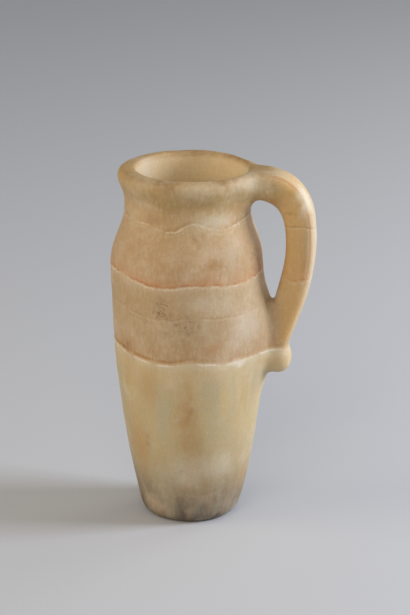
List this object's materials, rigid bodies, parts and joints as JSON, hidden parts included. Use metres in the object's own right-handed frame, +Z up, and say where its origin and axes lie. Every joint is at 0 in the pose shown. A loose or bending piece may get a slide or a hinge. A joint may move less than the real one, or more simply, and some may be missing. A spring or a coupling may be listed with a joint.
{
  "type": "alabaster pitcher",
  "caption": "Tall tapering stone pitcher with a short neck, a thick everted lip and one handle that runs from the lip to a small knob on the body.",
  "frame": {"origin": "middle of the flat underside of the foot, on the surface that the pitcher stands on", "axes": "+Z up to the mouth, +X towards the handle, Y across the handle's plane"},
  "size_m": [0.1371, 0.1032, 0.2412],
  "materials": {
    "alabaster": "honed, satin, honey to cream with fine wavy bands"
  },
  "bodies": {
    "root": {"pitcher": "alabaster"}
  },
  "joints": []
}
